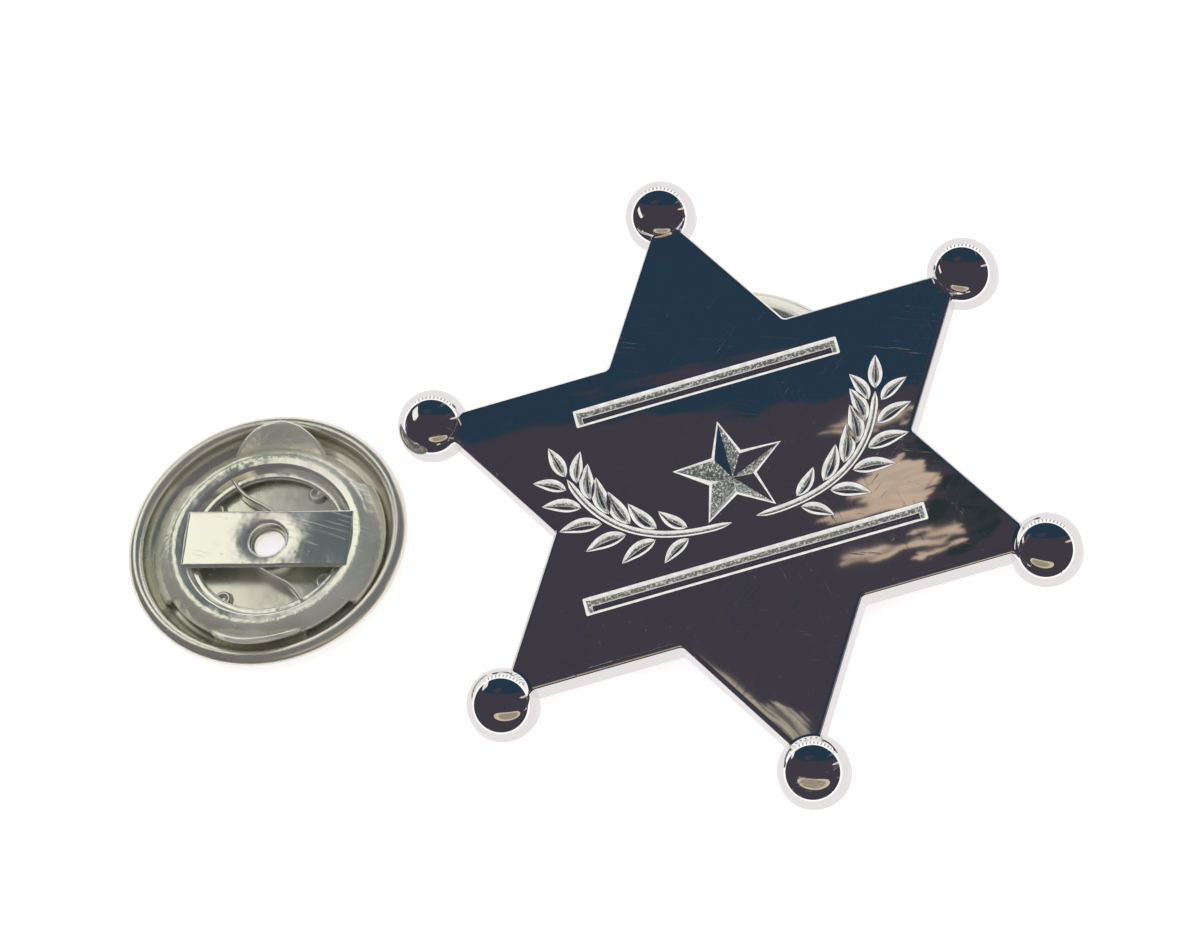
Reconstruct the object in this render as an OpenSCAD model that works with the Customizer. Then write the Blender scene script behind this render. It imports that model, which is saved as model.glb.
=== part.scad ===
// Six-point star badge with domed tips, held by a butterfly clutch on a post.
// A second clutch of the same kind lies loose beside the star.
// Millimetres. The badge lies face up: it rests on the wing tips and the rim of its own clutch.

/* [Star plate] */
// Distance from the middle of the star to the middle of each domed tip
tip_reach = 12.7; // [11:0.1:15]
// Thickness of the star plate
plate_t = 1.1; // [0.9:0.05:1.8]
// Radius of the rounded front edge
edge_r = 0.18; // [0.08:0.02:0.3]
// Radius of each domed tip
ball_r = 1.43; // [1.1:0.05:1.8]
// Height of the dome's widest level above the back of the plate
dome_mid = 0.5; // [0.3:0.05:0.8]

/* [Cut lines] */
// Width of the two V-cut bars across the face
bar_w = 0.7; // [0.4:0.05:0.9]
// Length of the upper bar
top_bar_len = 10.8; // [8:0.2:11.5]
// Length of the lower bar
low_bar_len = 13.8; // [10:0.2:14.5]
// Height of the upper bar above the middle of the star
top_bar_y = 4.5; // [4.2:0.1:5]
// Depth of the lower bar below the middle of the star
low_bar_y = 3.6; // [3.2:0.1:4]
// Rise of each cut's walls for each millimetre that they run inwards
cut_slope = 1; // [0.7:0.05:1.1]

/* [Ornament] */
// Height of the ornament's middle above the middle of the star
ornament_y = 0.35; // [0:0.05:0.6]
// Radius of the five points of the small sunk star
small_star_r = 2.3; // [1.6:0.1:2.5]
// Radius of the small star's inner corners
small_star_in = 0.98; // [0.6:0.02:1.2]
// Depth of the small star at its middle
small_star_depth = 0.5; // [0.3:0.05:0.6]
// Length of a full-sized laurel leaf
leaf_len = 1.75; // [1:0.05:2]
// Width of a full-sized laurel leaf
leaf_w = 0.66; // [0.4:0.02:0.75]
// Width of the laurel stems
stem_w = 0.24; // [0.15:0.01:0.3]
// Angle between a leaf and its stem
leaf_angle = 40; // [30:1:50]

/* [Post] */
// Radius of the post
post_r = 0.5; // [0.4:0.02:0.55]
// Distance of the post's axis to the right of the middle of the star
post_x = 0.55; // [-1:0.05:1]
// Height of the post's axis above the middle of the star
post_y = 3.7; // [3:0.1:5]
// Space left between the tip of the post and the level of the wing tips
post_short = 0.1; // [0.05:0.05:0.4]
// Radius of the blunt tip of the post
post_tip_r = 0.16; // [0.1:0.02:0.3]

/* [Clutch] */
// Outer radius of the clutch
clutch_r = 5.75; // [5.2:0.05:6.5]
// Height of the cup at its rolled rim
cup_h = 1.25; // [1:0.05:1.5]
// Radius of the rolled rim's bead
rim_bead = 0.3; // [0.2:0.02:0.35]
// Thickness of the cup's sheet
cup_sheet = 0.28; // [0.2:0.02:0.32]
// Thickness of the spring's sheet
spring_sheet = 0.25; // [0.18:0.01:0.3]
// Radius of the cup's post hole
bore_r = 0.62; // [0.57:0.01:0.7]
// Height of the drawn collar round the post hole
bore_len = 0.6; // [0.45:0.05:0.65]
// Radius of the spring's rounded lip
lip_r = 3.75; // [3.5:0.05:4]
// Height of the top of the lip above the cup's underside
lip_h = 1.3; // [1.2:0.05:1.6]
// Width of the shoulders that hold the collar to the cup
shoulder_w = 5.4; // [4.5:0.1:6]
// Width of the bridge strip across the opening
bridge_w = 2.6; // [2:0.1:3]
// Radius of the bridge strip's hole
bridge_hole_r = 0.75; // [0.7:0.01:0.9]
// Length of each wing along its slope
wing_len = 1.21; // [1.1:0.01:1.6]
// Width of each wing
wing_w = 3.8; // [3:0.1:4.2]
// Angle of each wing above the cup's floor
wing_angle = 58; // [45:1:75]
// Thickness of the two jaws that grip the post
jaw_sheet = 0.16; // [0.1:0.01:0.2]
// Radius of each of the four stakes pressed up from the cup's floor
stake_r = 0.3; // [0.2:0.05:0.4]
// Height of a stake above the cup's floor
stake_h = 0.16; // [0.1:0.02:0.3]
// Distance of each stake from the clutch's two middle lines
stake_at = 2.2; // [1.9:0.05:2.3]
// Clearance between the spring and the cup
fit_gap = 0.05; // [0.03:0.01:0.1]
// Clearance between the clutch and the back of the star
seat_gap = 0.15; // [0.05:0.05:0.5]

/* [Loose clutch] */
// Distance of the loose clutch to the left of the middle of the star
loose_left = 18.72; // [18.6:0.05:22]
// Distance of the loose clutch above the middle of the star
loose_up = 4.36; // [2:0.1:8]
// Turn of the loose clutch on the surface it lies on
loose_turn = -18; // [-90:1:90]

/* [Hidden] */
$fn = 64;
nickel = [0.84, 0.85, 0.83];
clutch_nickel = [0.78, 0.79, 0.74];
far = 4 * tip_reach;         // longer than anything here
lift = 0.05;                 // how far a cut's tool stands above the face
rim_mid_r = clutch_r - rim_bead;
rim_mid_z = cup_h - rim_bead;
floor_mid = cup_sheet / 2;
wall_share = [[0.862, 0], [0.954, 0.247], [1, 1]];
foot_r = wall_share[0][0] * rim_mid_r - fit_gap;   // foot of the spring's shoulders, inside the cup's wall
foot_z = cup_sheet + fit_gap + spring_sheet / 2;   // middle of the spring's sheet where it stands on the cup
lip_mid_z = lip_h - spring_sheet;                  // middle of the lip's bead
wall_foot_r = 0.9 * lip_r;                         // foot of the wall inside the lip
wall_foot_z = 0.56 * cup_h;
hinge_y = lip_r + 2 * spring_sheet;                // where each wing turns upwards
bridge_z = 0.68 * cup_h;                           // underside of the bridge strip
tab_r = 0.56 * wing_w;                             // radius of each wing's round end
tab_end = [hinge_y + wing_len * cos(wing_angle), wall_foot_z + wing_len * sin(wing_angle)];
tab_mid_z = wall_foot_z + (wing_len - tab_r) * sin(wing_angle);

// The clutch's whole height, from the cup's underside to the wing tips
wing_top = tab_mid_z + tab_r * sin(wing_angle) + spring_sheet / 2 * cos(wing_angle);
stand_off = seat_gap + wing_top;
post_len = stand_off - post_short;

// How far the star leans: its clutch's wing tips and the low side of its rim touch one level surface
rim_drop = wing_top - rim_mid_z;
lean = atan2(rim_drop, rim_mid_r) - asin(rim_bead / norm([rim_drop, rim_mid_r]));
tab_drop = tab_r * norm([sin(lean), cos(lean) * sin(wing_angle)]);    // lowest point of a leaning round end
rise = (seat_gap + tab_mid_z + spring_sheet / 2 * cos(wing_angle)) * cos(lean) + tab_drop - post_y * sin(lean);

// The whole object's box, from the domed tips and the loose clutch, puts the origin at its bottom centre
box_left = -loose_left - clutch_r;
box_right = tip_reach * cos(30) + ball_r;
box_top = (tip_reach + ball_r) * cos(lean);
box_low = -tip_reach * cos(lean) - dome_mid * sin(lean) - ball_r;
origin_shift = [-(box_left + box_right) / 2, -(box_top + box_low) / 2, 0];

// Sheet metal seen from its edge: a band of one thickness along a few points, mitred where it bends
function turned(v) = [-v[1], v[0]];
function across(from, to) = turned(to - from) / norm(to - from);
module band(points, thickness) {
    last = len(points) - 1;
    sides = [for (i = [0 : last])
        let (before = across(points[max(i - 1, 0)], points[max(i, 1)]))
        let (after = across(points[min(i, last - 1)], points[min(i + 1, last)]))
        let (both = before + after)
        both / (both * both) * thickness];
    polygon([
        for (i = [0 : last]) points[i] + sides[i],
        for (i = [last : -1 : 0]) points[i] - sides[i]
    ]);
}

// A V-cut along a path: the width at each point sets the depth there, and the walls keep one slope
function heading(path, i) =
    let (a = path[max(i - 1, 0)], b = path[min(i + 1, len(path) - 1)])
    (b - a) / norm(b - a);
module v_cut(path, widths) {
    n = len(path);
    points = [for (i = [0 : n - 1])
        let (side = turned(heading(path, i)) * (widths[i] / 2 + lift / cut_slope))
        each [
            [path[i][0] + side[0], path[i][1] + side[1], lift],
            [path[i][0], path[i][1], -widths[i] / 2 * cut_slope],
            [path[i][0] - side[0], path[i][1] - side[1], lift]
        ]];
    walls = [for (i = [0 : n - 2])
        let (a = 3 * i, b = a + 3)
        each [
            [b, a, a + 1], [b, a + 1, b + 1],
            [a + 2, b + 2, b + 1], [a + 2, b + 1, a + 1],
            [a, b, b + 2], [a, b + 2, a + 2]
        ]];
    last = 3 * (n - 1);
    polyhedron(points, concat([[0, 2, 1]], walls, [[last + 2, last, last + 1]]));
}

// A bar is a V-cut with square ends, whose end walls slope as its sides do
module bar_cut(y, length) {
    over = lift / cut_slope;
    reach = length / 2 + over;
    half = bar_w / 2 + over;
    crease = (length - bar_w) / 2;
    translate([0, y, 0]) polyhedron(
        [
            [-reach, -half, lift], [reach, -half, lift], [reach, half, lift], [-reach, half, lift],
            [-crease, 0, -bar_w / 2 * cut_slope], [crease, 0, -bar_w / 2 * cut_slope]
        ],
        [[3, 2, 1, 0], [0, 1, 5, 4], [2, 3, 4, 5], [1, 2, 5], [3, 0, 4]]
    );
}

// A leaf is a short curved V-cut that swells and narrows
leaf_share = [0, 0.16, 0.38, 0.62, 0.82, 1];
leaf_swell = [0, 0.62, 1, 0.9, 0.52, 0];
leaf_bow = 0.1;              // sideways bow of a leaf, as a share of its length
module leaf_cut(size, bend) {
    path = [for (s = leaf_share) [s * leaf_len * size, bend * leaf_bow * leaf_len * size * sin(180 * s)]];
    v_cut(path, [for (w = leaf_swell) w * leaf_w * size]);
}

// Each laurel stem is an arc that rises outwards, from its foot, past its bend, to its head
stem_foot = tip_reach * [0.043, -0.169];
stem_bend = tip_reach * [0.417, -0.181];
stem_head = tip_reach * [0.5, 0.138];
function stem_at(t) =
    (1 - t) * (1 - t) * stem_foot + 2 * t * (1 - t) * stem_bend + t * t * stem_head;
function stem_way(t) = 2 * (1 - t) * (stem_bend - stem_foot) + 2 * t * (stem_head - stem_bend);
function angle_of(v) = atan2(v[1], v[0]);
leaf_pairs = [[0.16, 0.8], [0.32, 0.95], [0.48, 1], [0.63, 1], [0.78, 0.92], [0.91, 0.8]];   // [place, size]
end_leaf = 0.8;
module laurel_cut() {
    places = [for (i = [0 : 10]) i / 10];
    v_cut([for (t = places) stem_at(t)], [for (t = places) stem_w * (t > 0 && t < 1 ? 1 : 0)]);
    for (pair = leaf_pairs) {
        for (side = [-1, 1]) {
            way = angle_of(stem_way(pair[0]));
            translate(concat(stem_at(pair[0]), 0))
                rotate(way + side * leaf_angle)
                    translate([stem_w, 0, 0])
                        leaf_cut(pair[1], -side);
        }
    }
    translate(concat(stem_at(1), 0)) rotate(angle_of(stem_way(1))) leaf_cut(end_leaf, 0);
}

// The small star is sunk to one point, with a flat facet from each of its ten sides
module small_star_cut() {
    grow = 1 + lift / small_star_depth;
    rim = [for (i = [0 : 9])
        let (r = (i % 2 == 0 ? small_star_r : small_star_in) * grow, a = 90 + 36 * i)
        [r * cos(a), r * sin(a), lift]];
    polyhedron(
        concat(rim, [[0, 0, lift], [0, 0, -small_star_depth]]),
        [for (i = [0 : 9]) each [[(i + 1) % 10, i, 10], [i, (i + 1) % 10, 11]]]
    );
}

module ornament_cut() {
    translate([0, ornament_y, 0]) {
        small_star_cut();
        for (side = [0, 1]) mirror([side, 0, 0]) laurel_cut();
    }
}

// One of the two triangles that cross to make the star, with its front edges rounded by tangent facets
module star_triangle() {
    difference() {
        linear_extrude(plate_t) circle(tip_reach, $fn = 3);
        for (side = [60, 180, 300]) {
            for (facet = [22.5, 45, 67.5]) {
                rotate(side) translate([tip_reach / 2 - edge_r, 0, plate_t - edge_r])
                    rotate([0, facet, 0]) translate([-far / 2, -far / 2, edge_r])
                        cube(far);
            }
        }
    }
}

module tip_dome() {
    cylinder(r = ball_r, h = dome_mid);
    translate([0, 0, dome_mid]) intersection() {
        sphere(ball_r);
        translate([-far / 2, -far / 2, 0]) cube(far);
    }
}

module post() {
    taper = post_r - post_tip_r;
    translate([post_x, post_y, -post_len + taper]) cylinder(r = post_r, h = post_len - taper + plate_t / 2);
    translate([post_x, post_y, -post_len]) cylinder(r1 = post_tip_r, r2 = post_r, h = taper);
}

module star() {
    difference() {
        for (half = [30, 90]) rotate(half) star_triangle();
        translate([0, 0, plate_t]) {
            bar_cut(top_bar_y, top_bar_len);
            bar_cut(-low_bar_y, low_bar_len);
            ornament_cut();
        }
    }
    for (i = [0 : 5]) rotate(60 * i + 30) translate([tip_reach, 0, 0]) tip_dome();
    post();
}

// The cup: a flat floor with a drawn post hole, a flared wall and a rolled rim, and four stakes for the spring.
// Its wall's points are shares: of the rim's radius, and of the way from the floor up to the rim.
module cup() {
    wall = [for (s = wall_share) [s[0] * rim_mid_r, floor_mid + s[1] * (rim_mid_z - floor_mid)]];
    rotate_extrude() {
        band(concat([[bore_r, floor_mid]], wall), cup_sheet);
        translate([bore_r, 0]) square([cup_sheet, bore_len]);
        translate([rim_mid_r, rim_mid_z]) circle(rim_bead);
    }
    for (x = [-1, 1]) {
        for (y = [-1, 1]) {
            translate([x * stake_at, y * stake_at, floor_mid]) cylinder(r = stake_r, h = floor_mid + stake_h);
        }
    }
}

// The spring's collar: a rounded lip, the wall inside it, and a shoulder each side that stands on the cup.
// A shoulder's points are shares: of the way from the lip out to its foot, and from its foot up to the lip.
shoulder_share = [[0.12, 1], [0.55, 0.93], [0.95, 0.7], [1.15, 0.4], [1.15, 0.2], [1, 0]];
module collar() {
    rotate_extrude() {
        translate([lip_r, lip_mid_z]) circle(spring_sheet);
        band([[lip_r, lip_mid_z], [wall_foot_r, wall_foot_z]], spring_sheet);
        band([[lip_r, lip_mid_z], [lip_r + spring_sheet, lip_mid_z - spring_sheet]], spring_sheet);
    }
    intersection() {
        rotate_extrude()
            band([for (s = shoulder_share) [
                lip_r + s[0] * (foot_r - lip_r), foot_z + s[1] * (lip_mid_z - foot_z)
            ]], spring_sheet);
        translate([-clutch_r, -shoulder_w / 2, 0]) cube([2 * clutch_r, shoulder_w, far]);
    }
}

// A wing: a flat root under the lip, and a tab with a round end that turns up past it
module wing() {
    difference() {
        intersection() {
            rotate([90, 0, 90]) linear_extrude(wing_w, center = true)
                band([[bore_r, wall_foot_z], [hinge_y, wall_foot_z], tab_end], spring_sheet);
            translate([0, hinge_y, wall_foot_z]) rotate([wing_angle, 0, 0])
                linear_extrude(2 * lip_r, center = true) {
                    translate([0, wing_len - tab_r]) circle(tab_r);
                    translate([-wing_w, -far]) square([2 * wing_w, far]);
                }
        }
        cylinder(r = wall_foot_r - spring_sheet / 4, h = far, center = true);
    }
}

// The bridge strip crosses the opening, and one thin jaw curves away from it on each side of the post
jaw_path = lip_r * [[-0.13, -0.27], [-0.03, -0.35], [0.13, -0.45], [0.29, -0.53], [0.4, -0.63], [0.48, -0.75]];
module bridge() {
    jaw_foot = cup_sheet + fit_gap;
    difference() {
        intersection() {
            translate([-lip_r, -bridge_w / 2, bridge_z]) cube([2 * lip_r, bridge_w, spring_sheet]);
            cylinder(r = wall_foot_r + spring_sheet / 2, h = far);
        }
        cylinder(r = bridge_hole_r, h = far);
    }
    for (turn = [0, 180]) {
        rotate(turn) translate([0, 0, jaw_foot])
            linear_extrude(bridge_z + spring_sheet / 2 - jaw_foot) band(jaw_path, jaw_sheet);
    }
}

module spring() {
    collar();
    bridge();
    for (turn = [0, 180]) rotate(turn) wing();
}

// The star and its own clutch lean together; the loose clutch lies flat
module place_star() {
    translate(origin_shift + [0, 0, rise]) rotate([lean, 0, 0]) children();
}
module place_star_clutch() {
    place_star() translate([post_x, post_y, -seat_gap]) rotate([180, 0, 90]) children();
}
module place_loose_clutch() {
    translate(origin_shift + [-loose_left, loose_up, 0]) rotate(loose_turn) children();
}

module star_body() { color(nickel) place_star() star(); }
module clutch_cup() { color(clutch_nickel) place_star_clutch() cup(); }
module clutch_spring() { color(clutch_nickel) place_star_clutch() spring(); }
module loose_cup() { color(clutch_nickel) place_loose_clutch() cup(); }
module loose_spring() { color(clutch_nickel) place_loose_clutch() spring(); }

star_body();
clutch_cup();
clutch_spring();
loose_cup();
loose_spring();
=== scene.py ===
import bmesh
import bpy
import numpy as np
from mathutils import Matrix, Vector
from mathutils.geometry import tessellate_polygon


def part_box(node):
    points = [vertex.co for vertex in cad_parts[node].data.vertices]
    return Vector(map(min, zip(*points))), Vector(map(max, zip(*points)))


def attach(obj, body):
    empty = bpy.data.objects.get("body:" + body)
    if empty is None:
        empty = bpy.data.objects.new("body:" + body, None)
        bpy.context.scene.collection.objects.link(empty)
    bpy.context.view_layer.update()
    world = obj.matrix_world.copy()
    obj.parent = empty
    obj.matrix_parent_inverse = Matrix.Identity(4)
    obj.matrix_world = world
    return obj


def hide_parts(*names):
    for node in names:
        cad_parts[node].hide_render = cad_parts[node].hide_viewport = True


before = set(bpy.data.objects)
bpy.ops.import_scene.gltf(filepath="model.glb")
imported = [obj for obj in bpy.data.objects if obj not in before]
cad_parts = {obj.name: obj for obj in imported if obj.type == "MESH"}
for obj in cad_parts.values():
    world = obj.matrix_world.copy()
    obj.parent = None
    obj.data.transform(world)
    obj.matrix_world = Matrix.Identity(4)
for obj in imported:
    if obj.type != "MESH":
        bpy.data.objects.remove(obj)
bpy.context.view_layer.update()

# Every length below is in millimetres until a piece is placed; the frame itself is in metres
mm = 0.001
weldDistance = 2e-7     # in metres
halfTurn = np.array([-1, -1, 1])     # turns points half round the upright axis


def addObject(name, data):
    thing = bpy.data.objects.new(name, data)
    bpy.context.scene.collection.objects.link(thing)
    return thing


def newMesh(name, points, faces, flat=False):
    mesh = bpy.data.meshes.new(name)
    mesh.from_pydata(points, [], faces, shade_flat=flat)
    return mesh


# Camera

cameraView = {
    "place": (9.961, -116.492, 185.082), "look": (-0.0411, 0.5442, -0.838),
    "right": (0.9604, -0.2098, -0.1834), "lens": 165, "sensor": 36, "nearest": 0.01, "farthest": 20,
    "pictureWidth": 1200,
}


def squareTo(axis, way):
    # The direction next to a given one that is at right angles to an axis
    return (way - axis * way.dot(axis)).normalized()


def makeCamera(view):
    look = Vector(view["look"]).normalized()
    right = squareTo(look, Vector(view["right"]))
    up = right.cross(look)
    data = bpy.data.cameras.new("photoCamera")
    data.lens, data.sensor_width, data.sensor_fit = view["lens"], view["sensor"], "HORIZONTAL"
    data.clip_start, data.clip_end = view["nearest"], view["farthest"]
    camera = addObject("photoCamera", data)
    turn = Matrix((right, up, -look)).transposed().to_4x4()
    camera.matrix_world = Matrix.Translation(Vector(view["place"]) * mm) @ turn
    bpy.context.scene.camera = camera
    return right, up, look


imageRight, imageUp, lookAlong = makeCamera(cameraView)
print("camera ready")

# Surfaces

def unitAt(angle):
    # Steps of length one in the directions that the angles give
    return np.stack([np.cos(angle), np.sin(angle)], -1)


def unitOf(vectors):
    return vectors / np.linalg.norm(vectors, axis=-1, keepdims=True)


def spun(x, y, angle):
    # Two coordinates turned by an angle
    return x * np.cos(angle) - y * np.sin(angle), x * np.sin(angle) + y * np.cos(angle)


def gridFaces(index):
    # Quads between neighbouring numbers of a grid
    corners = [index[..., :-1, :-1], index[..., :-1, 1:], index[..., 1:, 1:], index[..., 1:, :-1]]
    return np.stack(corners, -1)


def ringFaces(rows, ringed=False):
    # Quads between rows of closed rings; ringed joins the last row to the first as well
    index = np.arange(rows.shape[0] * rows.shape[1]).reshape(rows.shape[:2])
    beside = np.roll(index, -1, 1)
    quads = np.stack([index, beside, np.roll(beside, -1, 0), np.roll(index, -1, 0)], -1)
    return (quads if ringed else quads[:-1]).reshape(-1, 4)


def outwards(points, faces):
    # All faces are turned over if the signed volume that their triangles enclose is negative
    about, volume = points - points.mean(0), 0
    for face in faces:
        for k in range(1, face.shape[1] - 1):
            volume += np.sum(about[face[:, 0]] * np.cross(about[face[:, k]], about[face[:, k + 1]]))
    return points, [face[:, ::-1] for face in faces] if volume < 0 else faces


def skin(rows, ringed=False):
    # A closed skin over rows of rings: joined to a ring of rows, or else filled at its two ends
    points, faces = rows.reshape(-1, 3), [ringFaces(rows, ringed)]
    if not ringed:
        around, middle = rows.shape[1], len(points)
        first, last = np.arange(around), np.arange(middle - around, middle)
        points = np.vstack([points, rows[0].mean(0), rows[-1].mean(0)])
        faces.append(np.stack([np.full(around, middle), np.roll(first, -1), first], -1))
        faces.append(np.stack([np.full(around, middle + 1), last, np.roll(last, -1)], -1))
    return outwards(points, faces)


def sheetSkin(mid, normal, edge, half):
    # A thin sheet: its middle surface moved along the normal to both sides, by half its thickness. Nearer to
    # its edge than that half, a quarter circle rounds it off, and the two sides meet at the edge.
    near = np.clip(edge / half, 0, 1)
    offset = normal * (half * np.sqrt(np.clip(1 - (1 - near) ** 2, 0, 1)))[..., None]
    count, across = mid.shape[:2]
    top, under = gridFaces(np.arange(2 * count * across).reshape(2, count, across)).reshape(2, -1, 4)
    return outwards(np.stack([mid + offset, mid - offset]).reshape(-1, 3), [top, under[:, ::-1]])


def normalsOf(mid):
    normal = np.cross(np.gradient(mid, axis=0), np.gradient(mid, axis=1))
    return normal / np.maximum(np.linalg.norm(normal, axis=-1, keepdims=True), 1e-12)


def edgeSteps(width, half, inner):
    # Places from one edge to the other, close together where the edges are rounded
    ends = half * np.array([0, 0.05, 0.2, 0.45, 0.75, 1.0, 1.15])
    between = np.linspace(ends[-1], width - ends[-1], inner + 2)[1:-1]
    return np.concatenate([ends, between, width - ends[::-1]])


def rounded(corners, radii, steps, support, closed=True):
    # A path whose corners are arcs that touch both their sides, with a support point beside each arc
    corners = np.asarray(corners, float)
    count = len(corners)
    radii = np.broadcast_to(radii, count)
    path = []
    for i in range(count):
        here = corners[i]
        if not closed and i in (0, count - 1):
            path.append(here[None])
            continue
        before, after = unitOf(corners[i - 1] - here), unitOf(corners[(i + 1) % count] - here)
        halfAngle = np.arccos(np.clip(before @ after, -1, 1)) / 2
        reach = radii[i] / np.tan(halfAngle)
        middle = here + unitOf(before + after) * radii[i] / np.sin(halfAngle)
        start, end = here + before * reach - middle, here + after * reach - middle
        turn = np.sign(start[0] * end[1] - start[1] * end[0])
        angle = np.linspace(0, (np.pi - 2 * halfAngle) * turn, steps + 1)
        arc = np.stack(spun(start[0], start[1], angle), -1) + middle
        path += [arc[:1] + before * support, arc, arc[-1:] + after * support]
    return np.vstack(path)


def finely(loop, step):
    # A closed loop with more points on each side that is longer than a step
    after = np.roll(loop, -1, 0)
    more = np.maximum(1, (np.linalg.norm(after - loop, axis=1) / step).astype(int))
    return np.vstack([a + (b - a) * np.arange(n)[:, None] / n for a, b, n in zip(loop, after, more)])


def lengthAlong(path):
    return np.concatenate([[0], np.cumsum(np.linalg.norm(np.diff(path, axis=0), axis=1))])


def pointsAt(stops, length, path):
    # Points of a flat path at the given lengths along it
    return np.stack([np.interp(stops, length, path[:, k]) for k in range(2)], -1)


def pathSides(path, closed):
    # The left-hand normal at each point of a flat path, long enough for its offset to stay parallel
    if closed:
        before, after = path - np.roll(path, 1, 0), np.roll(path, -1, 0) - path
    else:
        step = np.diff(path, axis=0)
        before, after = np.vstack([step[:1], step]), np.vstack([step, step[-1:]])
    total = unitOf(before) + unitOf(after)
    left = np.stack([-total[:, 1], total[:, 0]], -1)
    return left * 2 / np.sum(left * left, axis=1, keepdims=True)


def sheetLoop(path, half):
    # The outline of a thin sheet seen from its edge, with round ends
    side = pathSides(path, False) * half
    angle = np.linspace(0, np.pi, 8)[1:-1]
    ends = []
    for at, unit in ((-1, side[-1]), (0, -side[0])):
        ahead = np.array([unit[1], -unit[0]])
        ends.append(path[at] + np.outer(np.cos(angle), unit) + np.outer(np.sin(angle), ahead))
    return np.vstack([path + side, ends[0], (path - side)[::-1], ends[1]])


def revolve(loop, count, closed=True):
    # A loop of radius and height turned about the upright axis; an open one starts and ends beside the axis
    around = unitAt(np.linspace(0, 2 * np.pi, count, endpoint=False))
    height = np.broadcast_to(loop[:, None, 1:], (len(loop), count, 1))
    turned = np.concatenate([loop[:, None, :1] * around, height], -1)
    return skin(turned.transpose(1, 0, 2), ringed=True) if closed else skin(turned)


def turnedAt(loop, count, places):
    # An open loop turned about the upright axis, once at each of some places
    points, faces = revolve(loop, count, closed=False)
    return [(points + np.array([*place, 0]), faces, 0) for place in places]


def makePiece(name, parts, place, materials):
    # Parts are points, faces and a material's number; merging the points that coincide closes every seam
    points, polys, numbers, first = [], [], [], 0
    for partPoints, faces, number in parts:
        points.append(place(partPoints))
        for face in faces:
            polys.extend((face + first).tolist())
            numbers.extend([number] * len(face))
        first += len(partPoints)
    mesh = newMesh(name, np.vstack(points), polys)
    mesh.polygons.foreach_set("material_index", np.array(numbers, np.int32))
    work = bmesh.new()
    work.from_mesh(mesh)
    bmesh.ops.remove_doubles(work, verts=work.verts, dist=weldDistance)
    work.to_mesh(mesh)
    work.free()
    mesh.update()
    for material in materials:
        mesh.materials.append(material)
    piece = addObject(name, mesh)
    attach(piece, "root")
    print(name, len(mesh.polygons), "faces")
    return piece


# Materials: shared effects are node groups, and constants sit on the shader's own sockets

def feed(tree, node, links):
    # Each input is given a socket to link to or a constant; the colors are opaque
    for label, value in links.items():
        socket = node.inputs[label]
        if isinstance(value, bpy.types.NodeSocket):
            tree.links.new(value, socket)
        else:
            socket.default_value = (*value, 1) if socket.type == "RGBA" else value


def addNode(tree, kind, links=None, **settings):
    node = tree.nodes.new(kind)
    for label, value in settings.items():
        setattr(node, label, value)
    feed(tree, node, links or {})
    return node


def mathNode(tree, operation, *values):
    return addNode(tree, "ShaderNodeMath", dict(enumerate(values)), operation=operation).outputs[0]


def times(tree, first, second):
    return mathNode(tree, "MULTIPLY", first, second)


def vectorNode(tree, operation, *values):
    return addNode(tree, "ShaderNodeVectorMath", dict(enumerate(values)), operation=operation).outputs[0]


def dotNode(tree, value, axis):
    links = {0: value, 1: tuple(axis)}
    return addNode(tree, "ShaderNodeVectorMath", links, operation="DOT_PRODUCT").outputs["Value"]


def spinNode(tree, place, angle):
    links = {"Vector": place, "Angle": angle}
    return addNode(tree, "ShaderNodeVectorRotate", links, rotation_type="Z_AXIS").outputs[0]


def rampNode(tree, value, low, high, start=0.0, end=1.0):
    links = {"Value": value, "From Min": low, "From Max": high, "To Min": start, "To Max": end}
    return addNode(tree, "ShaderNodeMapRange", links, interpolation_type="SMOOTHSTEP").outputs["Result"]


def noiseNode(tree, place, scale, detail, output="Fac", **more):
    links = {"Vector": place, "Scale": scale, "Detail": detail, **more}
    return addNode(tree, "ShaderNodeTexNoise", links).outputs[output]


def cellsNode(tree, place, scale):
    return addNode(tree, "ShaderNodeTexVoronoi", {"Vector": place, "Scale": scale}).outputs


def mixColor(tree, factor, under, over):
    links = {"Factor": factor, "A": under, "B": over}
    return addNode(tree, "ShaderNodeMix", links, data_type="RGBA").outputs[2]


def newGroup(name, output, **numbers):
    # A group that is given a place and some numbers, here with their usual values, and makes one number
    group = bpy.data.node_groups.new(name, "ShaderNodeTree")
    addSocket = group.interface.new_socket
    addSocket("Place", in_out="INPUT", socket_type="NodeSocketVector")
    for label, value in numbers.items():
        addSocket(label, in_out="INPUT", socket_type="NodeSocketFloat").default_value = value
    addSocket(output, in_out="OUTPUT", socket_type="NodeSocketFloat")
    given = group.nodes.new("NodeGroupInput").outputs
    return group, given, group.nodes.new("NodeGroupOutput")


def scratchGroup():
    # Hair-fine scratches: noise drawn out along one direction, kept where it passes a narrow level
    group, given, made = newGroup("fineScratches", "Mask", Angle=0.0, Amount=0.5)
    turned = spinNode(group, given["Place"], given["Angle"])
    bend = noiseNode(group, turned, 160.0, 1.0, "Color")
    drawn = vectorNode(group, "MULTIPLY", turned, (260.0, 9000.0, 260.0))
    moved = vectorNode(group, "MULTIPLY_ADD", bend, (0.0, 1.6, 0.0), drawn)
    level = mathNode(group, "SUBTRACT", noiseNode(group, moved, 1.0, 2.0), 0.66)
    line = rampNode(group, mathNode(group, "ABSOLUTE", level), 0.0, 0.016, 1.0, 0.0)
    where = rampNode(group, noiseNode(group, turned, 420.0, 2.0), 0.5, 0.68)
    feed(group, made, {"Mask": times(group, times(group, line, where), given["Amount"])})
    return group


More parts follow.
